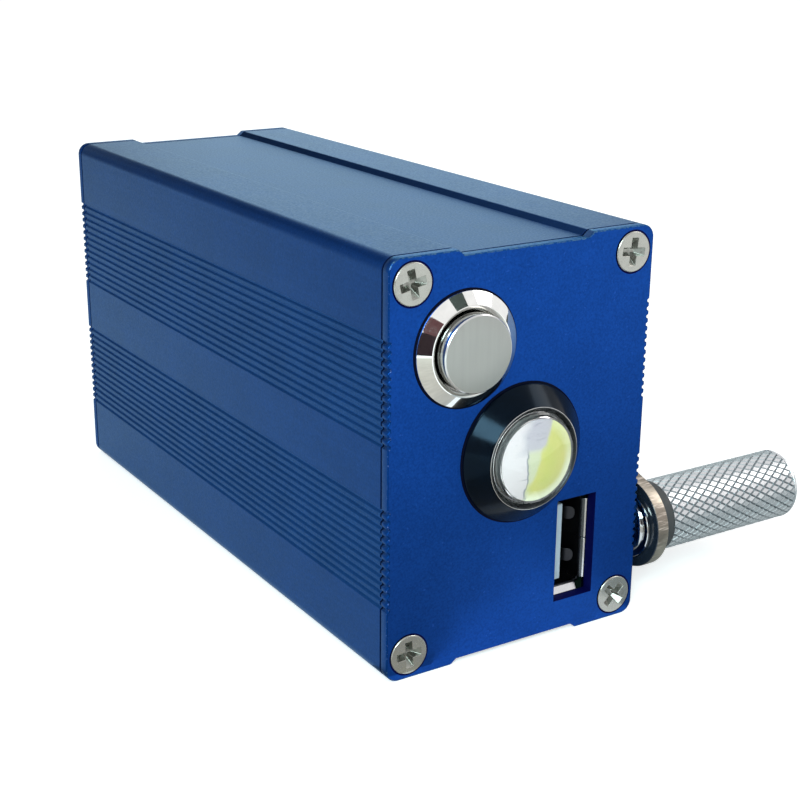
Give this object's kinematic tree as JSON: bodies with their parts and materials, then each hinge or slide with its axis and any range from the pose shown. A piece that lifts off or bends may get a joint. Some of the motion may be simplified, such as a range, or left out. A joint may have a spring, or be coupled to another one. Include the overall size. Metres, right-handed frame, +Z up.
{
  "type": "hand crank phone charger",
  "caption": "Box-shaped hand crank charger in a grooved blue aluminium case, with a push button, a round lamp, a charging socket and a side crank with a knurled handle.",
  "frame": {"origin": "on the table, under the middle of the case", "axes": "+Z up, -Y out of the front panel, +X towards the side with the crank; +Y is the case's longest direction and +Z its height"},
  "size_m": [0.0735, 0.1045, 0.056],
  "materials": {
    "case_blue": "blue anodised, fine bead-blasted grain",
    "panel_blue": "deeper blue anodised, satin",
    "bright_chrome": "polished",
    "brushed_cap": "satin face with a polished edge",
    "screw_steel": "nickel plated",
    "black_metal": "black anodised",
    "clear_lens": "polished, slightly frosted",
    "white_plastic": "moulded",
    "phosphor": "smooth",
    "socket_metal": "nickel plated sheet",
    "gold_contact": "gold plated",
    "board_green": "solder mask",
    "chip_black": "moulded",
    "copper_wire": "enamelled copper",
    "cell_wrap": "shrink sleeve",
    "foam": "closed-cell foam",
    "black_plastic": "moulded",
    "plate_steel": "zinc plated",
    "ground_steel": "ground",
    "gear_brass": "machined",
    "magnet_grey": "sintered",
    "arm_black": "black, bare on the rim",
    "grip_metal": "knurled, bright"
  },
  "bodies": {
    "case": {"case_tube": "case_blue", "front_panel": "panel_blue", "rear_panel": "panel_blue", "front_screws": "screw_steel", "rear_screws": "screw_steel", "button_bezel": "bright_chrome", "button_nut": "screw_steel", "button_base": "black_plastic", "button_terminals": "gold_contact", "button_spring": "ground_steel", "lamp_bezel": "black_metal", "lamp_nut": "black_metal", "lamp_lens": "clear_lens", "lamp_reflector": "white_plastic", "lamp_emitter": "phosphor", "lamp_board": "white_plastic", "lamp_plug": "black_plastic", "socket_shell": "socket_metal", "socket_tongue": "white_plastic", "socket_contacts": "gold_contact", "main_board": "board_green", "board_coil": "copper_wire", "board_capacitors": "black_plastic", "board_chips": "chip_black", "battery_cell": "cell_wrap", "battery_cradle": "black_plastic", "battery_foam": "foam", "battery_tabs": "screw_steel", "inner_plate": "plate_steel", "outer_plate": "plate_steel", "plate_posts": "gear_brass", "case_side_screws": "screw_steel", "inner_plate_screws": "screw_steel", "gear_pins": "ground_steel", "crank_bush": "gear_brass", "inner_bush": "gear_brass", "generator_can": "plate_steel", "generator_cap": "black_plastic", "generator_winding": "copper_wire", "generator_screws": "screw_steel"},
    "button": {"button_cap": "brushed_cap"},
    "crank": {"crank_shaft": "ground_steel", "crank_gear": "gear_brass", "crank_arm": "arm_black", "arm_washer": "screw_steel", "arm_screw": "screw_steel"},
    "handle": {"handle_grip": "grip_metal", "handle_spacer": "black_plastic", "handle_washer": "screw_steel", "handle_screw": "screw_steel"},
    "first_pair": {"first_gear_pair": "gear_brass"},
    "second_pair": {"second_gear_pair": "gear_brass"},
    "rotor": {"rotor_shaft": "ground_steel", "rotor_magnet": "magnet_grey", "rotor_pinion": "gear_brass"}
  },
  "joints": [
    {"name": "crank_spin", "type": "hinge", "parent": "case", "child": "crank", "pos_m": [0.015, 0.00992, 0.028], "axis": [1, 0, 0], "continuous": true},
    {"name": "handle_spin", "type": "hinge", "parent": "crank", "child": "handle", "pos_m": [0.025, -0.04507, 0.01119], "axis": [1, 0, 0], "continuous": true},
    {"name": "first_pair_spin", "type": "hinge", "parent": "case", "child": "first_pair", "pos_m": [0.01, 0.03183, 0.03965], "axis": [1, 0, 0], "continuous": true},
    {"name": "second_pair_spin", "type": "hinge", "parent": "case", "child": "second_pair", "pos_m": [0.01, 0.03475, 0.0231], "axis": [1, 0, 0], "continuous": true},
    {"name": "rotor_spin", "type": "hinge", "parent": "case", "child": "rotor", "pos_m": [0, 0.02251, 0.01739], "axis": [1, 0, 0], "continuous": true},
    {"name": "button_press", "type": "slide", "parent": "case", "child": "button", "axis": [0, 1, 0], "range_m": [0, 0.0012], "stiffness_N_per_m": 1200, "springref_m": -0.001, "deforming": ["button_spring"]}
  ],
  "couplings": [
    {"joint": "first_pair_spin", "follows": "crank_spin", "ratio": -3.4286},
    {"joint": "second_pair_spin", "follows": "crank_spin", "ratio": 10.286},
    {"joint": "rotor_spin", "follows": "crank_spin", "ratio": -29.388}
  ]
}
